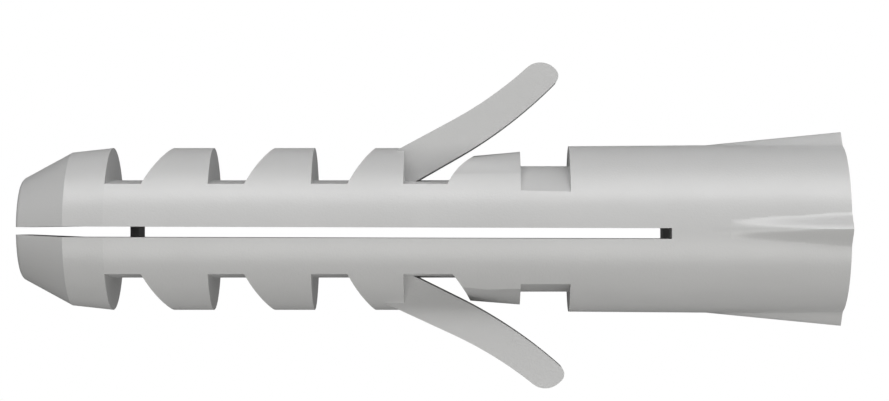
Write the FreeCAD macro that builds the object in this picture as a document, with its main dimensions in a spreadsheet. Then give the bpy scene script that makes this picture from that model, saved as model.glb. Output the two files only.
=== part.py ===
import FreeCAD, Part
import math
import os

import Sketcher

# A one-piece nylon expansion plug for a drilled hole, in millimetres.
# It is modelled along X: the screw goes in at the mouth, at the origin, and the nose is at -X.
# Y lies in the plane of the two tongues. Z is the direction in which the mould opens.
# At the end the plug is rolled about X until it lies on its lower tongue, as it would come to rest.

NODE = "expansion_plug"

# Each row is a name, a value and what it measures. Lengths along X are given from one step
# of the outline to the next, from the mouth to the nose.
DIMENSIONS = [
    ("collarLength", 16.67, "mouth to the front face of the collar"),
    ("neckLength", 2.97, "neck between the collar and tooth five"),
    ("crestFive", 2.64, "crest of tooth five"),
    ("rampFive", 1.79, "ramp of tooth five"),
    ("crestFiveLower", 3.00, "crest of tooth five on its lower side"),
    ("rampFiveLower", 1.14, "ramp of tooth five on its lower side"),
    ("gapFour", 2.59, "floor of the notch that the tongues stand over"),
    ("crestFour", 1.72, "crest of tooth four, which carries the tongues"),
    ("toothRamp", 1.66, "ramp of teeth two, three and four"),
    ("notchFloor", 2.13, "floor of the notches behind teeth one, two and three"),
    ("toothCrest", 2.37, "crest of teeth two and three"),
    ("headLength", 2.45, "slightly tapered head in front of the first notch"),
    ("noseLength", 3.06, "cone of the nose"),
    ("noseRadius", 3.02, "flat end of the nose"),
    ("noseRound", 0.20, "rounding of the edge of the flat end"),
    ("coneRadius", 4.68, "where the nose cone meets the head"),
    ("toothRadius", 4.95, "head and crests of teeth two to four"),
    ("shoulderRadius", 5.06, "collar at its front face"),
    ("collarRadius", 5.12, "collar from the start of the fins to the mouth"),
    ("rampRound", 8.90, "radius of the convex curve of the ramps of teeth two, three and four"),
    ("rampFiveRound", 3.90, "radius of the convex curve of the ramp of tooth five"),
    ("rampFiveLowerRound", 7.60, "radius of the hollow curve of its ramp on the lower side"),
    ("rampOver", 0.06, "how far a ramp's cut runs on above its crest"),
    ("floorRadius", 2.98, "notch floor at the parting plane"),
    ("floorDraft", 0.07, "fall of a notch floor for each unit of Z"),
    ("cutDepth", 2.60, "level below the floor to which the ramps run on"),
    ("neckRadius", 3.84, "neck at the parting plane"),
    ("neckRound", 7.16, "radius of the round flank of the neck"),
    ("neckDraft", 0.143, "fall of the flat flank of the neck for each unit of Z"),
    ("fiveFrontRadius", 4.48, "crest of tooth five at its ramp"),
    ("fiveBackRadius", 4.72, "crest of tooth five at its back face"),
    ("fiveLowerFrontRadius", 4.39, "lower crest of tooth five at its ramp"),
    ("fiveLowerBackRadius", 4.625, "lower crest of tooth five at its back face"),
    ("fiveFrontRound", 7.00, "radius of the round flank of tooth five where its ramp starts"),
    ("fiveBackRound", 5.60, "radius of the round flank of tooth five at its back face"),
    ("fiveFrontDraft", 0.247, "fall of its flat flank for each unit of Z where its ramp starts"),
    ("fiveBackDraft", 0.303, "fall of its flat flank for each unit of Z at its back face"),
    ("upperSplay", 28.3, "angle of the upper tongue's outer edge to the axis, degrees"),
    ("lowerSplay", 24.8, "angle of the lower tongue's outer edge to the axis, degrees"),
    ("tongueTaper", 1.5, "how much steeper a tongue's inner edge is than its outer edge, degrees"),
    ("tongueRootSetback", 0.16, "a tongue's outer edge leaves the crest this far in front of the back face"),
    ("tongueRootLead", 0.84, "a tongue's inner edge leaves the floor this far behind that back face"),
    ("tongueOuterRun", 3.46, "straight part of a tongue's outer edge"),
    ("tongueInnerRun", 2.78, "straight part of a tongue's inner edge"),
    ("tongueOuterBend", 23.2, "radius of the curved part of the outer edge"),
    ("tongueInnerBend", 28.0, "radius of the curved part of the inner edge"),
    ("tongueSweep", 16.5, "angle that the curved parts turn through, degrees"),
    ("tongueNearSide", 1.47, "thickness of a tongue on the shallow side of the parting plane"),
    ("tongueFarSide", 2.14, "thickness of a tongue on the deep side of the parting plane"),
    ("tongueRootDepth", 1.60, "how far a tongue's outline is sunk into the body at its root"),
    ("tipOuterRound", 1.22, "rounding of a tongue's tip at its outer edge"),
    ("tipInnerRound", 0.56, "rounding of a tongue's tip at its inner edge"),
    ("finLength", 8.30, "length of the four fins from the mouth"),
    ("finRadius", 5.93, "crest of a fin at the mouth"),
    ("finFlank", 1.00, "half width of a fin for each unit of its height"),
    ("finSunk", 0.40, "how far a fin's foot is sunk into the collar"),
    ("boreRadius", 2.80, "screw bore in the collar"),
    ("boreLength", 14.00, "straight part of the screw bore"),
    ("throatRadius", 1.90, "screw channel at the foot of tooth five"),
    ("channelEndRadius", 1.10, "screw channel at the web"),
    ("slotLength", 39.31, "slot from the nose towards the mouth"),
    ("slotHeight", 0.64, "width of the slot"),
    ("slotNoseHeight", 0.38, "width of the slot at the nose"),
    ("slotOffset", 0.27, "slot below the axis at its blind end"),
    ("slotHeadOffset", 0.165, "slot below the axis at the head"),
    ("slotNoseOffset", 0.10, "slot below the axis at the nose"),
    ("webStation", 6.72, "nose to the front face of the web that holds the two legs together"),
    ("webLength", 0.49, "web along the axis"),
    ("webThickness", 3.00, "web along Z"),
]

OUTSIDE = "2 * dims.collarRadius"  # a level outside the whole outline, where a cut can close
CLOSE = 0.01  # points nearer than this are the same corner, and a cut removes more than this


def makeSheet(doc):
    sheet = doc.addObject("Spreadsheet::Sheet", "dims")
    for row, (name, number, meaning) in enumerate(DIMENSIONS, start=1):
        sheet.set(f"A{row}", name)
        sheet.set(f"B{row}", str(number))
        sheet.set(f"C{row}", meaning)
        sheet.setAlias(f"B{row}", name)
    doc.recompute()
    return sheet


doc = FreeCAD.newDocument("expansion_plug")
sheet = makeSheet(doc)


def size(expression):
    return float(sheet.evalExpression(expression))


def total(*names):
    return " + ".join(f"dims.{name}" for name in names)


def minus(expression):
    return f"-({expression})"


# Stations along the axis, as distances from the mouth.
COLLAR_FRONT = total("collarLength")
BACK_FIVE = f"{COLLAR_FRONT} + {total('neckLength')}"
CREST_FIVE = f"{BACK_FIVE} + {total('crestFive')}"
RAMP_FIVE = f"{CREST_FIVE} + {total('rampFive')}"
CREST_FIVE_LOWER = f"{BACK_FIVE} + {total('crestFiveLower')}"
RAMP_FIVE_LOWER = f"{CREST_FIVE_LOWER} + {total('rampFiveLower')}"
BACK_FOUR = f"{RAMP_FIVE} + {total('gapFour')}"
CREST_FOUR = f"{BACK_FOUR} + {total('crestFour')}"
RAMP_FOUR = f"{CREST_FOUR} + {total('toothRamp')}"
BACK_THREE = f"{RAMP_FOUR} + {total('notchFloor')}"
CREST_THREE = f"{BACK_THREE} + {total('toothCrest')}"
RAMP_THREE = f"{CREST_THREE} + {total('toothRamp')}"
BACK_TWO = f"{RAMP_THREE} + {total('notchFloor')}"
CREST_TWO = f"{BACK_TWO} + {total('toothCrest')}"
RAMP_TWO = f"{CREST_TWO} + {total('toothRamp')}"
BACK_ONE = f"{RAMP_TWO} + {total('notchFloor')}"
HEAD = f"{BACK_ONE} + {total('headLength')}"
NOSE = f"{HEAD} + {total('noseLength')}"
WEB = f"{NOSE} - dims.webStation - dims.webLength"


def originFeature(body, role):
    for feature in body.Origin.OriginFeatures:
        if feature.Role == role:
            return feature
    raise RuntimeError(f"{body.Name} has no {role}")


def newSketch(body, name, plane, station=None):
    sketch = body.newObject("Sketcher::SketchObject", name)
    sketch.AttachmentSupport = [(originFeature(body, plane), "")]
    sketch.MapMode = "FlatFace"
    if station is not None:
        sketch.setExpression("AttachmentOffset.Base.z", station)
    return sketch


def bind(sketch, kind, geometry, point, expression):
    """Fixes one coordinate of a point, measured from the sketch's origin."""
    index = sketch.addConstraint(Sketcher.Constraint(kind, -1, 1, geometry, point, size(expression)))
    sketch.setExpression(f"Constraints[{index}]", expression)


def arcThrough(start, end, radius):
    """The short arc from start to end. It bulges left of the chord for a positive radius."""
    chord = end - start
    side = FreeCAD.Vector(-chord.y, chord.x, 0).normalize()
    sagitta = abs(radius) - math.sqrt(radius * radius - chord.Length ** 2 / 4)
    middle = (start + end) * 0.5 + side * math.copysign(sagitta, radius)
    return Part.ArcOfCircle(start, middle, end)


def addOutline(sketch, points, rounds=None):
    """Draws a closed outline through points given as pairs of expressions.

    rounds gives, for the edge that leaves a point, the radius of an arc and the side it bulges to.
    """
    rounds = rounds or {}
    corners = [FreeCAD.Vector(size(x), size(y), 0) for x, y in points]
    edges = []
    for number, start in enumerate(corners):
        end = corners[(number + 1) % len(corners)]
        if number in rounds:
            radius, bulge = rounds[number]
            edge = sketch.addGeometry(arcThrough(start, end, math.copysign(size(radius), bulge)), False)
            first = sketch.getPoint(edge, 1)
            turned = first.distanceToPoint(start) > first.distanceToPoint(end)
            index = sketch.addConstraint(Sketcher.Constraint("Radius", edge, size(radius)))
            sketch.setExpression(f"Constraints[{index}]", radius)
        else:
            edge = sketch.addGeometry(Part.LineSegment(start, end), False)
            turned = False
        edges.append((edge, 2 if turned else 1, 1 if turned else 2))
    for number, (edge, first, last) in enumerate(edges):
        following, begins, _ = edges[(number + 1) % len(edges)]
        sketch.addConstraint(Sketcher.Constraint("Coincident", edge, last, following, begins))
    for (edge, first, _), (x, y) in zip(edges, points):
        bind(sketch, "DistanceX", edge, first, x)
        bind(sketch, "DistanceY", edge, first, y)


def mirrored(points):
    return [(x, minus(y)) for x, y in points]


def turnedSketch(body, kind, name, sketch):
    feature = body.newObject("PartDesign::" + kind, name)
    feature.Profile = sketch
    feature.ReferenceAxis = (sketch, ["H_Axis"])
    feature.Angle = 360
    return feature


def cutRemoves(body, feature, before):
    """A cut that points away from the solid shows no error, so its volume is compared."""
    doc.recompute()
    if feature.Shape.Volume >= before - CLOSE:
        raise RuntimeError(f"{feature.Name} removes nothing")


def patternAboutAxis(body, name, feature, copies):
    pattern = body.newObject("PartDesign::PolarPattern", name)
    pattern.Originals = [feature]
    pattern.Axis = (originFeature(body, "X_Axis"), [""])
    pattern.Angle = 360
    pattern.Occurrences = copies
    body.Tip = pattern
    doc.recompute()
    return pattern


# The turned outline of the plug, with the notches still full.
def addBlank(body):
    sketch = newSketch(body, "blankOutline", "XY_Plane")
    coneRise = "(dims.coneRadius - dims.noseRadius) / dims.noseLength"
    coneAngle = f"atan({coneRise})"
    roundReach = f"(dims.noseRound * tan(45 deg - {coneAngle} / 2))"
    roundX = f"-({NOSE}) + {roundReach} * cos({coneAngle})"
    roundY = f"dims.noseRadius + {roundReach} * sin({coneAngle})"
    points = [
        ("0", "0"),
        ("0", "dims.collarRadius"),
        (minus("dims.finLength"), "dims.collarRadius"),
        (minus(COLLAR_FRONT), "dims.shoulderRadius"),
        (minus(CREST_FIVE), "dims.toothRadius"),
        (minus(BACK_ONE), "dims.toothRadius"),
        (minus(HEAD), "dims.coneRadius"),
        (roundX, roundY),
        (minus(NOSE), f"dims.noseRadius - {roundReach}"),
        (minus(NOSE), "0"),
    ]
    addOutline(sketch, points, {7: ("dims.noseRound", -1)})
    turnedSketch(body, "Revolution", "blank", sketch)
    doc.recompute()


# The notches are cut across the plug in the direction in which the mould opens. Each has a flat
# back face square to the axis, and a convex ramp that rises from below the floor to the crest.
# Only the lower ramp of tooth five is hollow.
def notchOutline(back, ramp, crest, crestRadius):
    return [
        (minus(back), "dims.cutDepth"),
        (minus(ramp), "dims.cutDepth"),
        (minus(crest), f"{crestRadius} + dims.rampOver"),
        (minus(crest), OUTSIDE),
        (minus(back), OUTSIDE),
    ]


def addNotches(body):
    alike = [
        (BACK_ONE, RAMP_TWO, CREST_TWO),
        (BACK_TWO, RAMP_THREE, CREST_THREE),
        (BACK_THREE, RAMP_FOUR, CREST_FOUR),
    ]
    sketch = newSketch(body, "notchOutlines", "XY_Plane")
    for stations in alike:
        points = notchOutline(*stations, "dims.toothRadius")
        addOutline(sketch, points, {1: ("dims.rampRound", 1)})
        addOutline(sketch, mirrored(points), {1: ("dims.rampRound", -1)})
    points = notchOutline(BACK_FOUR, RAMP_FIVE, CREST_FIVE, "dims.fiveFrontRadius")
    addOutline(sketch, points, {1: ("dims.rampFiveRound", 1)})
    points = notchOutline(BACK_FOUR, RAMP_FIVE_LOWER, CREST_FIVE_LOWER, "dims.fiveLowerFrontRadius")
    addOutline(sketch, mirrored(points), {1: ("dims.rampFiveLowerRound", 1)})
    before = body.Tip.Shape.Volume
    pocket = body.newObject("PartDesign::Pocket", "notches")
    pocket.Profile = sketch
    pocket.SideType = "Symmetric"
    pocket.Type = "Length"
    pocket.setExpression("Length", f"2 * {OUTSIDE}")
    cutRemoves(body, pocket, before)


# The floors fall a little from the parting plane to each side, so the mould halves let go.
def addNotchFloors(body):
    sketch = newSketch(body, "floorSection", "YZ_Plane", minus(BACK_ONE))
    rise = "dims.floorDraft"
    root = "dims.floorRadius"
    outer = "dims.toothRadius"
    edgeZ = (
        f"({root} * {rise} + sqrt(({root} * {rise}) ^ 2 - (1 + {rise} ^ 2) * ({root} ^ 2 - {outer} ^ 2)))"
        f" / (1 + {rise} ^ 2)"
    )
    edgeY = f"{root} - {rise} * ({edgeZ})"
    points = [
        (root, "0"),
        (edgeY, edgeZ),
        (minus(edgeY), edgeZ),
        (minus(root), "0"),
        (minus(edgeY), minus(edgeZ)),
        (edgeY, minus(edgeZ)),
    ]
    addOutline(sketch, points, {1: (outer, -1), 4: (outer, -1)})
    pad = body.newObject("PartDesign::Pad", "notchFloors")
    pad.Profile = sketch
    pad.setExpression("Length", f"({BACK_ONE}) - ({CREST_FIVE})")
    doc.recompute()


# The neck and tooth five have one round flank and one flat flank on each side of the plug.
# On the lower side the section has had a half turn about the axis.
def flankOutline(sketch, ridge, roundRadius, draft, isLower=False):
    reach = "dims.toothRadius"
    roundY = f"({ridge}) - ({roundRadius}) + sqrt(({roundRadius}) ^ 2 - ({reach}) ^ 2)"
    points = [
        (ridge, "0"),
        (roundY, reach),
        (OUTSIDE, reach),
        (OUTSIDE, minus(reach)),
        (f"({ridge}) - ({draft}) * ({reach})", minus(reach)),
    ]
    if isLower:
        points = [(minus(y), minus(z)) for y, z in points]
    addOutline(sketch, points, {0: (roundRadius, -1)})


def addNeck(body):
    sketch = newSketch(body, "neckSection", "YZ_Plane", minus(BACK_FIVE))
    flankOutline(sketch, "dims.neckRadius", "dims.neckRound", "dims.neckDraft")
    before = body.Tip.Shape.Volume
    pocket = body.newObject("PartDesign::Pocket", "neck")
    pocket.Profile = sketch
    pocket.Reversed = True
    pocket.setExpression("Length", "dims.neckLength")
    cutRemoves(body, pocket, before)
    patternAboutAxis(body, "neckBothSides", pocket, 2)


# The levels of tooth five differ a little between its upper and its lower side.
def addToothFive(body):
    sides = [
        ("Upper", "dims.crestFive", "dims.fiveFrontRadius", "dims.fiveBackRadius"),
        ("Lower", "dims.crestFiveLower", "dims.fiveLowerFrontRadius", "dims.fiveLowerBackRadius"),
    ]
    for side, crest, frontRadius, backRadius in sides:
        isLower = side == "Lower"
        fall = f"({backRadius} - {frontRadius}) / {crest} * (dims.crestFive + dims.rampFive - {crest})"
        ridge = f"{frontRadius} - {fall}"
        front = newSketch(body, f"five{side}FrontSection", "YZ_Plane", minus(RAMP_FIVE))
        flankOutline(front, ridge, "dims.fiveFrontRound", "dims.fiveFrontDraft", isLower)
        back = newSketch(body, f"five{side}BackSection", "YZ_Plane", minus(BACK_FIVE))
        flankOutline(back, backRadius, "dims.fiveBackRound", "dims.fiveBackDraft", isLower)
        before = body.Tip.Shape.Volume
        loft = body.newObject("PartDesign::SubtractiveLoft", f"toothFive{side}")
        loft.Profile = front
        loft.Sections = [back]
        loft.Ruled = True
        cutRemoves(body, loft, before)


# Each tongue leaves the back of tooth four, runs straight and then curves away from the plug.
def tonguePoints(splay):
    inner = f"({splay} + dims.tongueTaper)"
    outerX = f"-({BACK_FOUR}) - dims.tongueRootSetback"
    outerY = "dims.toothRadius"
    innerX = f"-({BACK_FOUR}) + dims.tongueRootLead"
    innerY = "dims.floorRadius"
    outerBendX = f"{outerX} + dims.tongueOuterRun * cos({splay})"
    outerBendY = f"{outerY} + dims.tongueOuterRun * sin({splay})"
    innerBendX = f"{innerX} + dims.tongueInnerRun * cos({inner})"
    innerBendY = f"{innerY} + dims.tongueInnerRun * sin({inner})"
    outerTipX = f"{outerBendX} + dims.tongueOuterBend * (sin({splay} + dims.tongueSweep) - sin({splay}))"
    outerTipY = f"{outerBendY} + dims.tongueOuterBend * (cos({splay}) - cos({splay} + dims.tongueSweep))"
    innerTipX = f"{innerBendX} + dims.tongueInnerBend * (sin({inner} + dims.tongueSweep) - sin({inner}))"
    innerTipY = f"{innerBendY} + dims.tongueInnerBend * (cos({inner}) - cos({inner} + dims.tongueSweep))"
    depth = "dims.tongueRootDepth"
    return [
        (f"{outerX} - {depth} * cos({splay})", f"{outerY} - {depth} * sin({splay})"),
        (outerBendX, outerBendY),
        (outerTipX, outerTipY),
        (innerTipX, innerTipY),
        (innerBendX, innerBendY),
        (f"{innerX} - {depth} * cos({inner})", f"{innerY} - {depth} * sin({inner})"),
    ]


def addTongue(body, name, splay, side):
    points = tonguePoints(splay)
    if side < 0:
        points = mirrored(points)
    sketch = newSketch(body, name + "Outline", "XY_Plane")
    addOutline(sketch, points, {1: ("dims.tongueOuterBend", -side), 3: ("dims.tongueInnerBend", side)})
    pad = body.newObject("PartDesign::Pad", name)
    pad.Profile = sketch
    pad.SideType = "Two sides"
    pad.Type = "Length"
    pad.Type2 = "Length"
    pad.setExpression("Length", "dims.tongueNearSide" if side > 0 else "dims.tongueFarSide")
    pad.setExpression("Length2", "dims.tongueFarSide" if side > 0 else "dims.tongueNearSide")
    doc.recompute()
    corners = [FreeCAD.Vector(size(x), size(y), 0) for x, y in points[2:4]]
    for corner, rounding in zip(corners, ("tipOuterRound", "tipInnerRound")):
        roundUprightEdge(body, name + rounding[3:], corner, "dims." + rounding)
    return sketch


def roundUprightEdge(body, name, corner, radius):
    """Rounds the edge that runs along Z through a corner of a tongue's outline."""
    base = body.Tip
    for number, edge in enumerate(base.Shape.Edges, start=1):
        ends = [vertex.Point for vertex in edge.Vertexes]
        if len(ends) != 2 or abs(ends[0].z - ends[1].z) < CLOSE:
            continue
        if all(math.hypot(end.x - corner.x, end.y - corner.y) < CLOSE for end in ends):
            fillet = body.newObject("PartDesign::Fillet", name)
            fillet.Base = (base, [f"Edge{number}"])
            fillet.setExpression("Radius", radius)
            doc.recompute()
            return
    raise RuntimeError(f"no edge to round for {name}")


# Four fins at the mouth keep the plug from turning in its hole.
def finOutline(sketch, crest):
    foot = "(dims.collarRadius - dims.finSunk)"
    halfWidth = f"(({crest}) - {foot}) * dims.finFlank"
    addOutline(sketch, [(crest, "0"), (foot, halfWidth), (foot, minus(halfWidth))])


def addFins(body):
    mouth = newSketch(body, "finAtMouth", "YZ_Plane")
    finOutline(mouth, "dims.finRadius")
    start = newSketch(body, "finAtStart", "YZ_Plane", minus("dims.finLength"))
    finOutline(start, "dims.collarRadius")
    loft = body.newObject("PartDesign::AdditiveLoft", "fin")
    loft.Profile = mouth
    loft.Sections = [start]
    loft.Ruled = True
    doc.recompute()
    patternAboutAxis(body, "fins", loft, 4)


# The screw channel is straight in the collar and narrows between the legs, up to the web.
def addChannel(body):
    sketch = newSketch(body, "channelOutline", "XY_Plane")
    points = [
        ("0", "0"),
        ("0", "dims.boreRadius"),
        (minus("dims.boreLength"), "dims.boreRadius"),
        (minus(RAMP_FIVE), "dims.throatRadius"),
        (minus(WEB), "dims.channelEndRadius"),
        (minus(WEB), "0"),
    ]
    addOutline(sketch, points)
    before = body.Tip.Shape.Volume
    groove = turnedSketch(body, "Groove", "channel", sketch)
    cutRemoves(body, groove, before)


# The slot parts the plug into two legs. It is narrow at the nose and lies a little below the axis.
def addSlot(body):
    stations = [
        (f"-({NOSE}) - dims.slotHeight", "dims.slotNoseOffset", "dims.slotNoseHeight"),
        (minus(NOSE), "dims.slotNoseOffset", "dims.slotNoseHeight"),
        (minus(HEAD), "dims.slotHeadOffset", "dims.slotHeight"),
        (f"-({NOSE}) + dims.slotLength", "dims.slotOffset", "dims.slotHeight"),
    ]
    upper = [(x, f"-{offset} + {height} / 2") for x, offset, height in stations]
    lower = [(x, f"-{offset} - {height} / 2") for x, offset, height in reversed(stations)]
    sketch = newSketch(body, "slotOutline", "XY_Plane")
    addOutline(sketch, upper + lower)
    before = body.Tip.Shape.Volume
    pocket = body.newObject("PartDesign::Pocket", "slot")
    pocket.Profile = sketch
    pocket.SideType = "Symmetric"
    pocket.Type = "Length"
    pocket.setExpression("Length", f"2 * {OUTSIDE}")
    cutRemoves(body, pocket, before)


# A thin web at the end of the channel holds the legs together until the screw breaks it.
def addWeb(body):
    sketch = newSketch(body, "webOutline", "XY_Plane")
    top = "dims.slotHeight - dims.slotHeadOffset"
    bottom = "-dims.slotHeight - dims.slotHeadOffset"
    front = minus(f"{WEB} + dims.webLength")
    addOutline(sketch, [(front, bottom), (minus(WEB), bottom), (minus(WEB), top), (front, top)])
    pad = body.newObject("PartDesign::Pad", "web")
    pad.Profile = sketch
    pad.SideType = "Symmetric"
    pad.setExpression("Length", "dims.webThickness")
    doc.recompute()


# The roll about X at which the lower tongue, a fin and the head touch one level surface.
def restingRoll(tongueReach):
    tipReach = math.hypot(tongueReach, size("dims.tongueNearSide"))
    tipLead = math.degrees(math.atan2(size("dims.tongueNearSide"), tongueReach))
    share = size(BACK_FIVE) / size(BACK_ONE)
    roll = 0.0
    change = 1.0
    while abs(change) > CLOSE ** 2:
        level = size("dims.finRadius") * math.cos(math.radians(roll)) * (1 - share)
        level += size("dims.toothRadius") * share
        change = math.degrees(math.asin(level / tipReach)) - tipLead - roll
        roll += change
    return roll


def buildPlug():
    body = doc.addObject("PartDesign::Body", NODE)
    body.Label = NODE
    addBlank(body)
    addNotches(body)
    addNotchFloors(body)
    addNeck(body)
    addToothFive(body)
    addTongue(body, "upperTongue", "dims.upperSplay", 1)
    lowerOutline = addTongue(body, "lowerTongue", "dims.lowerSplay", -1)
    addFins(body)
    addChannel(body)
    addSlot(body)
    addWeb(body)
    roll = restingRoll(-lowerOutline.Shape.BoundBox.YMin)
    turn = FreeCAD.Rotation(FreeCAD.Vector(1, 0, 0), roll)
    body.Placement = FreeCAD.Placement(FreeCAD.Vector(0, 0, 0), turn)
    doc.recompute()
    print("roll", round(roll, 3))
    return body


def check(parts):
    for item in doc.Objects:
        if "Invalid" in item.State or "Error" in item.State:
            raise RuntimeError(f"{item.Name} did not compute: {item.State}")
    for part in parts:
        if part.Shape.isNull() or not part.Shape.isValid() or len(part.Shape.Solids) != 1:
            raise RuntimeError(f"{part.Label} is not one valid solid")


parts = [buildPlug()]
check(parts)
os.makedirs("parts", exist_ok=True)
for part in parts:
    part.Shape.exportStep(f"parts/{part.Label}.step")
    box = part.Shape.BoundBox
    print(part.Label, "volume", round(part.Shape.Volume, 2), "faces", len(part.Shape.Faces))
    print("box", [round(v, 3) for v in (box.XMin, box.YMin, box.ZMin, box.XMax, box.YMax, box.ZMax)])
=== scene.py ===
import math

import bmesh
import bpy
import numpy as np
from mathutils import Matrix, Vector


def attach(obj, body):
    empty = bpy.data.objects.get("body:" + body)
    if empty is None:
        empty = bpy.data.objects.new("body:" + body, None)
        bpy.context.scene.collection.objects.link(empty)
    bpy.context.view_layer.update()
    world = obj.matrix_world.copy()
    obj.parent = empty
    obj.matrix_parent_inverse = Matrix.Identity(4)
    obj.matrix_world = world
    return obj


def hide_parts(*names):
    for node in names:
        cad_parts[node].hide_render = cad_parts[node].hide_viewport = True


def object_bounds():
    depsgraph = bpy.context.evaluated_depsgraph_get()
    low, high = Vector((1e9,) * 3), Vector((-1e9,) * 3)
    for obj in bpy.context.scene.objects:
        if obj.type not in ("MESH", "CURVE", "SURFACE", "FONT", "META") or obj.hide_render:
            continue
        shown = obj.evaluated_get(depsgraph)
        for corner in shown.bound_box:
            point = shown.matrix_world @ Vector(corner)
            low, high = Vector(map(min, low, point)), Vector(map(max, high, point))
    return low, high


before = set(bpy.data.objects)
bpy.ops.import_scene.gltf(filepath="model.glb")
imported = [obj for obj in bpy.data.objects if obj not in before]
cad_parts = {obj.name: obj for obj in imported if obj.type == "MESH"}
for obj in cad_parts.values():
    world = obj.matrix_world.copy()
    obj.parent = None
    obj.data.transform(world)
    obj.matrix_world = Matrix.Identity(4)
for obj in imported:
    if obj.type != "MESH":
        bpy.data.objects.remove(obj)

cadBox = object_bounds()
millimetre = 0.001
print("frame loaded, box", [[round(v, 5) for v in corner] for corner in cadBox])


# Shader maths: wraps an output socket, so that arithmetic on it adds Math nodes
class Socket:
    def __init__(self, tree, output):
        self.tree = tree
        self.output = output

    def maths(self, operation, *values):
        return self.tree.node("ShaderNodeMath", {"operation": operation}, dict(enumerate(values)))

    def __add__(self, other):
        return self.maths("ADD", self, other)

    def __radd__(self, other):
        return self.maths("ADD", other, self)

    def __sub__(self, other):
        return self.maths("SUBTRACT", self, other)

    def __rsub__(self, other):
        return self.maths("SUBTRACT", other, self)

    def __mul__(self, other):
        return self.maths("MULTIPLY", self, other)

    def __rmul__(self, other):
        return self.maths("MULTIPLY", other, self)


# Adds nodes to one material, each from its type, its settings and its sockets' values or links
class NodeTree:
    def __init__(self, name):
        self.material = bpy.data.materials.new(name)
        self.material.use_nodes = True
        self.material.node_tree.nodes.clear()

    def node(self, kind, settings=None, sockets=None, result=0):
        made = self.material.node_tree.nodes.new(kind)
        for setting, value in (settings or {}).items():
            setattr(made, setting, value)
        for socket, value in (sockets or {}).items():
            if isinstance(value, Socket):
                self.material.node_tree.links.new(value.output, made.inputs[socket])
            else:
                made.inputs[socket].default_value = value
        return Socket(self, made.outputs[result]) if made.outputs else made

    def noise(self, place, scale, detail):
        sockets = {"Vector": place, "Scale": scale, "Detail": detail}
        return self.node("ShaderNodeTexNoise", {}, sockets)


# Light grey moulded nylon: soft sheen, faint flow clouds and the fine grain of the mould's surface
nylon = {
    "colour": (0.560, 0.560, 0.558, 1.0),
    "cloudColour": (0.520, 0.520, 0.518, 1.0),
    "cloudScale": 260.0,         # per metre
    "cloudDetail": 4.0,
    "cloudMiddle": 0.5,          # the clouds' mean, which leaves the roughness as it is
    "grainScale": 9000.0,        # per metre
    "grainDetail": 3.0,
    "grainHeight": 0.00001,      # m
    "roughness": 0.31,
    "roughnessSpread": 0.10,
    "ior": 1.53,
}


# The clouds mix two greys and vary the roughness, and the grain feeds only the bump
def makeNylon(values):
    tree = NodeTree("nylon")
    place = tree.node("ShaderNodeTexCoord", result="Object")
    clouds = tree.noise(place, values["cloudScale"], values["cloudDetail"])
    grain = tree.noise(place, values["grainScale"], values["grainDetail"])
    colour = tree.node(
        "ShaderNodeMix",
        {"data_type": "RGBA"},
        {0: clouds, 6: values["colour"], 7: values["cloudColour"]},  # the mix's factor, A and B
        result=2,
    )
    swing = (clouds - values["cloudMiddle"]) * values["roughnessSpread"]
    roughness = values["roughness"] + swing
    relief = tree.node("ShaderNodeBump", {}, {"Height": grain, "Distance": values["grainHeight"]})
    shader = tree.node(
        "ShaderNodeBsdfPrincipled",
        {},
        {"Base Color": colour, "Roughness": roughness, "Normal": relief, "IOR": values["ior"]},
    )
    tree.node("ShaderNodeOutputMaterial", {}, {"Surface": shader})
    return tree.material


nylonMaterial = makeNylon(nylon)
print("material made")

# The plug's sizes in mm. Those of the outline run along X from one step to the next, mouth to nose
plug = {
    "collar": 16.67, "neck": 2.97, "crestFive": 2.64, "rampFive": 1.79, "gapFour": 2.59,
    "crestFour": 1.72, "ramp": 1.66, "floor": 2.13, "crest": 2.37, "head": 2.45, "nose": 3.06,
    "noseRadius": 3.02, "noseRound": 0.20, "coneRadius": 4.68, "toothRadius": 4.95,
    "shoulderRadius": 5.06, "collarRadius": 5.12,
    "rampRound": 8.90, "rampFiveRound": 3.90, "rampOver": 0.06, "cutDepth": 2.60,
    "floorRadius": 2.98, "floorDraft": 0.07, "fiveCrest": 4.48,
    "crestFiveLower": 3.00, "rampFiveLower": 1.14, "fiveLowerCrest": 4.39,
    "rampFiveLowerRound": -7.60,  # negative, as this ramp is hollow
    "finLength": 8.30, "finRadius": 5.93, "finSunk": 0.40,
    "bore": 14.00, "boreRadius": 2.80, "throatRadius": 1.90, "channelEnd": 1.10,
    "slotLength": 39.31, "slotHeight": (0.38, 0.64, 0.64), "slotOffset": (0.10, 0.165, 0.27),
    "web": 6.72, "webLength": 0.49, "webHalf": 1.50,
    "webOver": 0.02,             # by which the web reaches into the channel
    "outside": 7.0,              # clear of the whole outline, where a cutter may close
    "clear": 1.0,                # by which a cutter runs on past an end
    "mouthOver": 0.5,            # by which the fins run past the mouth until it is cut
    "creaseAngle": 24.0,         # degrees, a sharper turn than this is an edge
    "columns": 180,              # facets around the plug
    "channelColumns": 72,
    "noseFacets": 5,
    "rampFacets": 13,
    "flankFacets": 34,
}

# How the meshes are tidied, and which of their faces count as lying on the turned outline
meshing = {
    "weld": 0.00002,             # mm between points that become one
    "flat": 0.05,                # degrees between faces that become one
    "offOutline": 0.03,          # mm that a face's middle may lie off the outline
    "alongOutline": 0.985,       # cosine of the turn that it may have from it
}

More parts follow.
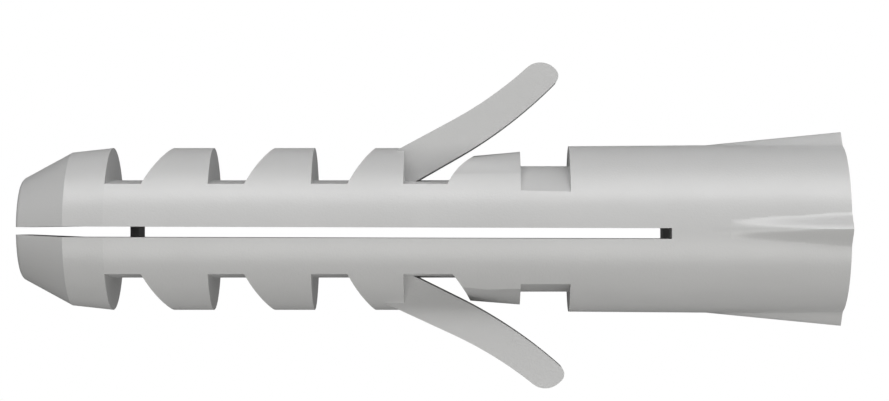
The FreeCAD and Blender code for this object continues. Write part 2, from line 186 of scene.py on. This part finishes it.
# The flanks of the neck and of tooth five, at their nose end and mouth end: the level of their
# ridge in mm, the round of the one flank in mm, and the fall of the flat one for each mm
flanks = {
    "neck": {"ridges": (3.84, 3.84), "rounds": (7.16, 7.16), "drafts": (0.143, 0.143)},
    "five": {"ridges": (4.317, 4.72), "rounds": (7.00, 5.60), "drafts": (0.247, 0.303)},
    "fiveLower": {"ridges": (4.278, 4.625), "rounds": (7.00, 5.60), "drafts": (0.247, 0.303)},
    "runOver": 0.30,             # mm by which the cut of tooth five runs on over the neck
    "roundReach": 5.5,           # mm along Z that the round flank spans
}


# Distances from the mouth are added up and turned to X, by name, from the mouth to the nose
def stations(size):
    steps = {
        "collarFront": "collar",
        "backFive": "neck", "crestFive": "crestFive", "rampFive": "rampFive",
        "backFour": "gapFour", "crestFour": "crestFour", "rampFour": "ramp",
        "backThree": "floor", "crestThree": "crest", "rampThree": "ramp",
        "backTwo": "floor", "crestTwo": "crest", "rampTwo": "ramp",
        "backOne": "floor", "head": "head", "nose": "nose",
    }
    places = dict(zip(steps, -np.cumsum([size[step] for step in steps.values()])))
    places["crestFiveLower"] = places["backFive"] - size["crestFiveLower"]
    places["rampFiveLower"] = places["crestFiveLower"] - size["rampFiveLower"]
    return places


at = stations(plug)
slotEnd = at["nose"] + plug["slotLength"]
webFront = at["nose"] + plug["web"]
webBack = webFront + plug["webLength"]


# Outline of the turned blank, nose first: straight from step to step, and a quarter round at the
# nose, x = nose + round (1 - cos a) and y = cone - round (1 - sin a)
def blankOutline(size):
    quarter = np.radians(np.linspace(0, 90, size["noseFacets"]))
    drop = size["noseRound"] * (1 - np.sin(quarter))
    noseX = at["nose"] + size["noseRound"] * (1 - np.cos(quarter))
    rise = (size["coneRadius"] - size["noseRadius"]) / size["nose"]
    noseY = size["noseRadius"] + rise * (noseX - at["nose"]) - drop
    steps = np.array([
        (at["head"], size["coneRadius"]),
        (at["backOne"], size["toothRadius"]),
        (at["crestFive"], size["toothRadius"]),
        (at["collarFront"], size["shoulderRadius"]),
        (-size["finLength"], size["collarRadius"]),
        (0, size["collarRadius"]),
    ])
    return np.append(noseX, steps[:, 0]), np.append(noseY, steps[:, 1])


outlineX, outlineRadius = blankOutline(plug)


# A solid from sections of as many points each: a grid of quads runs from section to section and
# around each section, and the first and the last section close it
def carried(name, sections):
    sections = np.asarray(sections, float)
    rows, columns = sections.shape[:2]
    index = np.arange(rows * columns).reshape(rows, columns)
    following = np.roll(index, -1, axis=1)
    quads = np.stack([index[:-1], following[:-1], following[1:], index[1:]], -1)
    ends = [index[0][::-1].tolist(), index[-1].tolist()]
    mesh = bpy.data.meshes.new(name)
    faces = quads.reshape(-1, 4).tolist() + ends
    mesh.from_pydata(sections.reshape(-1, 3).tolist(), [], faces)
    made = bpy.data.objects.new(name, mesh)
    bpy.context.scene.collection.objects.link(made)
    cleanMesh(made, 0)
    return made


# Points nearer than the weld distance become one, faces that turn less than flat degrees become
# one, and every face is turned outwards
def cleanMesh(made, flat):
    work = bmesh.new()
    work.from_mesh(made.data)
    bmesh.ops.remove_doubles(work, verts=work.verts, dist=meshing["weld"])
    bmesh.ops.dissolve_degenerate(work, dist=meshing["weld"], edges=work.edges)
    if flat:
        limit = math.radians(flat)
        bmesh.ops.dissolve_limit(work, angle_limit=limit, verts=work.verts, edges=work.edges)
    bmesh.ops.recalc_face_normals(work, faces=work.faces)
    loose = sum(len(edge.link_faces) != 2 for edge in work.edges)
    print(made.name, "faces", len(work.faces), "open edges", loose)
    work.to_mesh(made.data)
    work.free()


# A turned solid: at each station a ring about the X axis, y = radius cos(a) and z = radius sin(a)
def turned(name, x, radius, count):
    angle = np.arange(count) * 2 * math.pi / count
    x, radius = np.asarray(x, float)[:, None], np.asarray(radius, float)[:, None]
    rings = [x + 0 * angle, radius * np.cos(angle), radius * np.sin(angle)]
    return carried(name, np.stack(rings, -1))


# A solid of one outline in the XY plane, carried straight along Z
def drawnAlongZ(name, outline, levels):
    outline = np.asarray(outline, float)
    return carried(name, [np.column_stack([outline, np.full(len(outline), z)]) for z in levels])


# The same piece after so many half turns about the X axis
def halfTurned(made, halves):
    made.data.transform(Matrix.Rotation(halves * math.pi, 4, "X"))
    return made


# A ramp is an arc through its foot, at the cut's depth, and its crest. It bulges outwards, or is
# hollow for a negative radius. Its X at a level is centreX -+ sqrt(radius^2 - (level - centreY)^2)
def rampStation(level, foot, crest, crestLevel, radius):
    start = np.array([foot, plug["cutDepth"]])
    chord = np.array([crest, crestLevel + plug["rampOver"]]) - start
    length = np.hypot(*chord)
    inward = np.array([chord[1], -chord[0]]) / length
    bulge = math.copysign(1, radius)
    centre = start + chord / 2 + bulge * inward * math.sqrt(radius ** 2 - length ** 2 / 4)
    return centre[0] - bulge * np.sqrt(radius ** 2 - (level - centre[1]) ** 2)


# What is cut out between two teeth: a section at each Z runs along the floor, which falls to both
# sides, up the ramp's arc, and back outside the plug
def makeNotch(back, foot, crest, crestLevel, radius):
    sections = []
    for z in (-plug["outside"], 0, plug["outside"]):
        floorLevel = plug["floorRadius"] - plug["floorDraft"] * abs(z)
        level = np.linspace(floorLevel, crestLevel + plug["rampOver"], plug["rampFacets"])
        x = rampStation(level, at[foot], at[crest], crestLevel, radius)
        x = np.concatenate([[at[back]], x, [at[crest], at[back]]])
        y = np.concatenate([[floorLevel], level, [plug["outside"]] * 2])
        sections.append(np.column_stack([x, y, np.full(len(x), z)]))
    return carried("notch", sections)


# What is cut off a flank: its section is y = ridge + draft z behind the ridge and
# y = ridge - round + sqrt(round^2 - z^2) before it, and closes outside the plug. It runs straight
# from its first section to its last
def makeFlankCutter(start, end, sizes, over):
    beyond = 1 + over / (end - start)
    rounding = np.linspace(0, flanks["roundReach"], plug["flankFacets"])
    z = np.concatenate([[-plug["outside"]], rounding])
    sections = []
    for x, share in ((start, 0), (end + over, beyond)):
        ends = (sizes["ridges"], sizes["rounds"], sizes["drafts"])
        ridge, radius, draft = (front + (back - front) * share for front, back in ends)
        rounded = ridge - radius + np.sqrt(radius ** 2 - np.maximum(z, 0) ** 2)
        y = np.where(z > 0, rounded, ridge + draft * z)
        y, depth = np.append(y, [plug["outside"]] * 2), np.append(z, [z[-1], z[0]])
        sections.append(np.column_stack([np.full(len(y), x), y, depth]))
    return carried("flank", sections)


# The slot: its two walls run straight from the nose to the head and on to the blind end
def makeSlot():
    x = np.array([at["nose"], at["head"], slotEnd])
    height, offset = np.array(plug["slotHeight"]), np.array(plug["slotOffset"])
    x[0] -= plug["clear"]
    upper, lower = height / 2 - offset, -height / 2 - offset
    outline = np.concatenate([np.column_stack([x, lower]), np.column_stack([x, upper])[::-1]])
    return drawnAlongZ("slot", outline, (-plug["outside"], plug["outside"]))


# The screw channel: straight in the collar, narrowing between the legs as far as the web
def makeChannel():
    x = [webBack, at["rampFive"], -plug["bore"], plug["clear"]]
    radius = [plug["channelEnd"], plug["throatRadius"], plug["boreRadius"], plug["boreRadius"]]
    return turned("channel", x, radius, plug["channelColumns"])


# The web between the legs, sunk into both and reaching a hair into the channel
def makeWeb():
    middle, reach = -plug["slotOffset"][1], plug["slotHeight"][1]
    low, high, back = middle - reach, middle + reach, webBack + plug["webOver"]
    outline = [(webFront, low), (back, low), (back, high), (webFront, high)]
    return drawnAlongZ("web", outline, (-plug["webHalf"], plug["webHalf"]))


# The fins rise evenly to the mouth. Their foot is soft, and so is their crest where they start
fins = {
    "footSoftness": 0.20,        # mm
    "sink": 0.04,                # mm by which the soft foot runs under the collar
    "crestRounds": (0.05, 0.75),  # mm, at the mouth and what the start adds
    "reach": 1.30,               # mm to each side that a section spans
    "stations": 9,
    "facets": 27,
}


# A fin's height over the collar, across it: u = crest - (sqrt(w^2 + round^2) - round) falls at 45
# degrees to both sides, and h = (u + sqrt(u^2 + foot^2)) / 2 - sink lets it run out softly
def makeFin(quarter):
    foot, sink = fins["footSoftness"], fins["sink"]
    across = np.linspace(-fins["reach"], fins["reach"], fins["facets"])
    sections = []
    for share in np.linspace(1, -plug["mouthOver"] / plug["finLength"], fins["stations"]):
        crestRound = fins["crestRounds"][0] + fins["crestRounds"][1] * share ** 2
        height = (plug["finRadius"] - plug["collarRadius"]) * (1 - share) + sink
        level = height - foot ** 2 / (4 * height) - np.hypot(across, crestRound) + crestRound
        radius = plug["collarRadius"] + (level + np.hypot(level, foot)) / 2 - sink
        radius = np.append(radius, [plug["collarRadius"] - plug["finSunk"]] * 2)
        angle = np.append(across, [across[-1], across[0]]) / plug["collarRadius"]
        x = np.full(len(angle), -plug["finLength"] * share)
        sections.append(np.column_stack([x, radius * np.cos(angle), radius * np.sin(angle)]))
    return halfTurned(carried("fin", sections), quarter / 2)


# The tongues, in mm and degrees. The lower one is made like an upper one and given a half turn,
# which brings its shallow side to the front
tongues = {
    "upper": {"splay": 28.3, "halves": 0},
    "lower": {"splay": 24.8, "halves": 1},
    "taper": 1.5, "sweep": 16.5,
    "rootSetback": 0.16, "rootLead": 0.84, "rootDepth": 1.60,
    "outerRun": 3.46, "innerRun": 2.78, "outerBend": 23.2, "innerBend": 28.0,
    "nearSide": 1.47, "farSide": 2.14,
    "outerRound": 1.22, "innerRound": 0.56,
    "sideFacets": 16, "outerFacets": 12, "innerFacets": 9,
}


def heading(angle):              # unit vector at an angle
    return np.array([math.cos(angle), math.sin(angle)])


def leftOf(angle):               # unit vector a quarter turn to the left of that
    return np.array([-math.sin(angle), math.cos(angle)])


def bearing(vector):             # angle of a vector
    return math.atan2(vector[1], vector[0])


# Points at even angles from start to end: centre + radius (cos a, sin a)
def arcPoints(centre, radius, start, end, count):
    angle = np.linspace(start, end, count)
    return centre + radius * np.stack([np.cos(angle), np.sin(angle)], -1)


# Centre of a round that touches a line on its left and the edge's arc: on the line moved in by the
# round's radius, and at the arc's radius changed by it from the arc's centre
def roundCentre(arcCentre, reach, corner, along, inward, radius):
    base = corner + inward * radius - arcCentre
    middle = base @ along
    spread = math.sqrt(middle ** 2 - base @ base + reach ** 2)
    options = np.array([-middle - spread, -middle + spread])
    return corner + inward * radius + along * options[np.argmin(np.abs(options))]


# A tongue's outline in the XY plane: two edges that run straight and then along an arc, and a tip
# with two rounds between them
def tongueOutline(size, splay):
    start, sweep = math.radians(splay), math.radians(size["sweep"])
    lean = start + math.radians(size["taper"])
    outerRoot = np.array([at["backFour"] - size["rootSetback"], plug["toothRadius"]])
    innerRoot = np.array([at["backFour"] + size["rootLead"], plug["floorRadius"]])
    outerCentre = outerRoot + size["outerRun"] * heading(start) + size["outerBend"] * leftOf(start)
    innerCentre = innerRoot + size["innerRun"] * heading(lean) + size["innerBend"] * leftOf(lean)
    outerTip = outerCentre - size["outerBend"] * leftOf(start + sweep)
    innerTip = innerCentre - size["innerBend"] * leftOf(lean + sweep)
    along = (innerTip - outerTip) / np.linalg.norm(innerTip - outerTip)
    inward = np.array([along[1], -along[0]])
    inward = inward * np.sign((innerRoot - innerTip) @ inward)
    outerReach = size["outerBend"] + size["outerRound"]
    innerReach = size["innerBend"] - size["innerRound"]
    first = roundCentre(outerCentre, outerReach, outerTip, along, inward, size["outerRound"])
    second = roundCentre(innerCentre, innerReach, innerTip, along, inward, size["innerRound"])
    toOuter, fromOuter = bearing(first - outerCentre), bearing(outerCentre - first)
    toInner, outwards = bearing(second - innerCentre), bearing(-inward)
    quarter, sides = math.pi / 2, size["sideFacets"]
    return np.concatenate([
        [outerRoot - size["rootDepth"] * heading(start)],
        arcPoints(outerCentre, size["outerBend"], start - quarter, toOuter, sides),
        arcPoints(first, size["outerRound"], fromOuter, outwards, size["outerFacets"])[1:],
        arcPoints(second, size["innerRound"], outwards, toInner, size["innerFacets"]),
        arcPoints(innerCentre, size["innerBend"], toInner, lean - quarter, sides)[1:],
        [innerRoot - size["rootDepth"] * heading(lean)],
    ])


# The outline carried along Z, from the deep side to the shallow one
def makeTongue(name):
    outline = tongueOutline(tongues, tongues[name]["splay"])
    made = drawnAlongZ(name + "Tongue", outline, (-tongues["farSide"], tongues["nearSide"]))
    return halfTurned(made, tongues[name]["halves"])


# Cuts other pieces off this one or joins them to it, and takes them away
def combine(made, operation, others):
    for other in others:
        step = made.modifiers.new(other.name, "BOOLEAN")
        step.operation = operation
        step.solver = "EXACT"
        step.object = other
    evaluated = made.evaluated_get(bpy.context.evaluated_depsgraph_get())
    whole = bpy.data.meshes.new_from_object(evaluated)
    made.modifiers.clear()
    made.data = whole
    for other in others:
        bpy.data.objects.remove(other)
    cleanMesh(made, meshing["flat"])


# True normal of the turned outline at each point: radial, and leaning by the outline's slope there
def outlineNormal(points, slope):
    radius = np.hypot(points[:, 1], points[:, 2])
    radial = np.stack([0 * radius, points[:, 1] / radius, points[:, 2] / radius], -1)
    leaning = radial - slope[:, None] * np.array([1.0, 0.0, 0.0])
    return leaning / np.linalg.norm(leaning, axis=1)[:, None]


# Faces that lie on the turned outline: their middle at its radius and their normal along its normal
def facesOnOutline(middles, normals):
    step = np.clip(np.searchsorted(outlineX, middles[:, 0]) - 1, 0, len(outlineX) - 2)
    slope = (np.diff(outlineRadius) / np.diff(outlineX))[step]
    level = np.interp(middles[:, 0], outlineX, outlineRadius)
    away = np.abs(np.hypot(middles[:, 1], middles[:, 2]) - level)
    facing = np.sum(outlineNormal(middles, slope) * normals, axis=1)
    return (away < meshing["offOutline"]) & (facing > meshing["alongOutline"]), slope


# Reads one value of every element of a mesh as an array
def meshValues(elements, name, kind, width=1):
    values = np.empty(len(elements) * width, kind)
    elements.foreach_get(name, values)
    return values.reshape(-1, width) if width > 1 else values


# Each corner of a face, and every corner that shares its point, as two lists of numbers
def cornersTogether(cornerPoint):
    order, count = np.argsort(cornerPoint, kind="stable"), np.bincount(cornerPoint)
    begin, many = (np.cumsum(count) - count)[cornerPoint], count[cornerPoint]
    first = np.repeat(np.arange(len(cornerPoint)), many)
    place = np.arange(len(first)) - np.repeat(np.cumsum(many) - many, many)
    return first, order[np.repeat(begin, many) + place]


# Normal at each corner: the true one on the turned outline, and elsewhere the mean, weighted by
# area, of the faces at that point that turn less than an edge
def cornerNormals(mesh):
    middles = meshValues(mesh.polygons, "center", float, 3)
    normals = meshValues(mesh.polygons, "normal", float, 3)
    areas = meshValues(mesh.polygons, "area", float)
    cornerPoint = meshValues(mesh.loops, "vertex_index", int)
    points = meshValues(mesh.vertices, "co", float, 3)
    face = np.repeat(np.arange(len(areas)), meshValues(mesh.polygons, "loop_total", int))
    onOutline, slope = facesOnOutline(middles, normals)
    onOutline = onOutline[face]
    turnedNormals = outlineNormal(points[cornerPoint], slope[face])
    true = np.where(onOutline[:, None], turnedNormals, normals[face])
    first, second = cornersTogether(cornerPoint)
    facing = np.sum(normals[face[first]] * normals[face[second]], axis=1)
    alike = facing > math.cos(math.radians(plug["creaseAngle"]))
    share = np.where(alike, areas[face[second]], 0)
    wanted = np.zeros_like(true)
    np.add.at(wanted, first, share[:, None] * true[second])
    wanted[onOutline] = true[onOutline]
    length = np.linalg.norm(wanted, axis=1)[:, None]
    return np.divide(wanted, length, out=np.zeros_like(wanted), where=length > 0)


# Gives the plug its material, turns it to the way it lies, in metres, and sets its normals
def dressMesh(mesh):
    mesh.materials.append(nylonMaterial)
    wanted = cornerNormals(mesh)
    mesh.polygons.foreach_set("use_smooth", np.ones(len(mesh.polygons), bool))
    mesh.set_sharp_from_angle(angle=math.radians(plug["creaseAngle"]))
    turn = Matrix.Rotation(math.radians(studio["roll"]), 3, "X")
    mesh.transform(Matrix.Scale(millimetre, 4) @ turn.to_4x4())
    mesh.normals_split_custom_set((wanted @ np.array(turn.transposed())).tolist())
    print("normals set, faces", len(mesh.polygons))


# The plug: a turned blank that runs past the mouth, with notches, flanks, slot and channel cut out
# of it, and fins, tongues and web joined to it. The mouth is cut last, so that blank and fins end
# in one face
def makePlug():
    x = np.append(outlineX, plug["mouthOver"] / 2)
    radius = np.append(outlineRadius, plug["collarRadius"])
    made = turned("expansionPlug", x, radius, plug["columns"])
    cuts = [makeSlot(), makeChannel()]
    usual = (plug["toothRadius"], plug["rampRound"])
    alike = [
        ("backOne", "rampTwo", "crestTwo", *usual),
        ("backTwo", "rampThree", "crestThree", *usual),
        ("backThree", "rampFour", "crestFour", *usual),
    ]
    fiveUpper = (plug["fiveCrest"], plug["rampFiveRound"])
    fiveLower = (plug["fiveLowerCrest"], plug["rampFiveLowerRound"])
    upper = ("backFour", "rampFive", "crestFive", *fiveUpper)
    lower = ("backFour", "rampFiveLower", "crestFiveLower", *fiveLower)
    for halves, toothFive, flank in ((0, upper, "five"), (1, lower, "fiveLower")):
        cuts += [halfTurned(makeNotch(*tooth), halves) for tooth in (*alike, toothFive)]
        neck = makeFlankCutter(at["backFive"], at["collarFront"], flanks["neck"], 0)
        five = makeFlankCutter(at["rampFive"], at["backFive"], flanks[flank], flanks["runOver"])
        cuts += [halfTurned(neck, halves), halfTurned(five, halves)]
    combine(made, "DIFFERENCE", cuts)
    print("notches, slot and channel cut")
    joined = [makeFin(quarter) for quarter in range(4)]
    joined += [makeTongue("upper"), makeTongue("lower"), makeWeb()]
    combine(made, "UNION", joined)
    print("fins, tongues and web joined")
    ends, radii = [0, plug["clear"]], [plug["outside"]] * 2
    combine(made, "DIFFERENCE", [turned("mouthCut", ends, radii, plug["channelColumns"])])
    print("mouth cut")
    dressMesh(made.data)
    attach(made, "root")
    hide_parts("expansion_plug")


# Studio: a bright pale floor, soft light all round, and lights above and below the camera's line
studio = {
    "roll": 22.775,               # degrees by which the plug lies rolled about X
    "cameraStation": -22.32,      # mm, where the camera looks straight down on the axis
    "cameraDistance": 162.5,      # mm from the axis
    "lens": 107.5,                # mm
    "shift": (-0.0354, 0.0320),
    "clipStart": 0.01,            # m
    "floorSize": 4.0,             # m
    "floorGlow": 1.0,
    "worldStrength": 0.095,
    "lightDistance": 0.45,        # m
    "lowColour": (1.0, 0.995, 0.975),
    # by name: degrees above the camera's line, degrees to its right, length and width in m, watts
    "lights": {
        "high": (50, 0, 0.8, 0.12, 1.36),
        "higher": (64, 0, 0.8, 0.10, 0.51),
        "top": (74, 0, 0.8, 0.06, 0.37),
        "low": (-30, 0, 0.6, 0.20, 1.05),
        "under": (-75, 0, 0.6, 0.30, 0.32),
        "rightHigh": (58, 62, 0.3, 0.24, 0.32),
        "rightLow": (-58, 62, 0.3, 0.24, 0.46),
    },
}


# A level square under the plug. It glows evenly in the camera's view, and lights nothing
def makeFloor(values, level):
    half = values["floorSize"] / 2
    corners = np.array([(-half, -half, 0), (half, -half, 0), (half, half, 0), (-half, half, 0)])
    mesh = bpy.data.meshes.new("floor")
    mesh.from_pydata((corners + (cadBox[0][0] / 2, 0, level)).tolist(), [], [(0, 1, 2, 3)])
    floor = bpy.data.objects.new("floor", mesh)
    bpy.context.scene.collection.objects.link(floor)
    tree = NodeTree("floor")
    shader = tree.node(
        "ShaderNodeBsdfPrincipled",
        {},
        {
            "Base Color": (0.0, 0.0, 0.0, 1.0),
            "Roughness": 1.0,
            "Specular IOR Level": 0.0,
            "Emission Color": (1.0, 1.0, 1.0, 1.0),
            "Emission Strength": values["floorGlow"],
        },
    )
    tree.node("ShaderNodeOutputMaterial", {}, {"Surface": shader})
    mesh.materials.append(tree.material)
    floor.visible_diffuse = False
    floor.visible_glossy = False
    floor.visible_shadow = False


# The camera looks square on the plane of the tongues, which is rolled about X with the plug
def makeCamera(values):
    roll = math.radians(values["roll"])
    towards = Vector((0, -math.sin(roll), math.cos(roll)))
    up = Vector((0, math.cos(roll), math.sin(roll)))
    along = up.cross(towards)
    data = bpy.data.cameras.new("camera")
    data.lens = values["lens"]
    data.shift_x, data.shift_y = values["shift"]
    camera = bpy.data.objects.new("camera", data)
    bpy.context.scene.collection.objects.link(camera)
    place = Vector((values["cameraStation"], 0, 0)) + towards * values["cameraDistance"]
    turn = Matrix((along, up, towards)).transposed().to_quaternion()
    camera.matrix_world = Matrix.LocRotScale(place * millimetre, turn, None)
    data.clip_start = values["clipStart"]
    bpy.context.scene.camera = camera
    return towards, up


# Soft world light, and area lights about the plug that face it
def makeLights(values, towards, up):
    world = bpy.data.worlds.new("studio")
    world.use_nodes = True
    sky = world.node_tree.nodes["Background"].inputs
    sky["Color"].default_value = (1, 1, 1, 1)
    sky["Strength"].default_value = values["worldStrength"]
    bpy.context.scene.world = world
    centre = Vector((values["cameraStation"] * millimetre, 0, 0))
    for name, (above, aside, length, width, energy) in values["lights"].items():
        data = bpy.data.lights.new(name, "AREA")
        data.shape = "RECTANGLE"
        data.size, data.size_y = length, width
        data.energy = energy
        if above < 0:
            data.color = values["lowColour"]
        light = bpy.data.objects.new(name, data)
        bpy.context.scene.collection.objects.link(light)
        lift, turn = math.radians(above), math.radians(aside)
        level = towards * math.cos(lift) + up * math.sin(lift)
        direction = level * math.cos(turn) + up.cross(towards) * math.sin(turn)
        light.location = centre + direction * values["lightDistance"]
        light.rotation_mode = "QUATERNION"
        light.rotation_quaternion = direction.to_track_quat("Z", "Y")


towards, up = makeCamera(studio)
print("camera made")
makePlug()
print("plug made")
makeFloor(studio, cadBox[0][2])
makeLights(studio, towards, up)
bpy.context.scene.view_settings.view_transform = "Standard"
print("studio made")
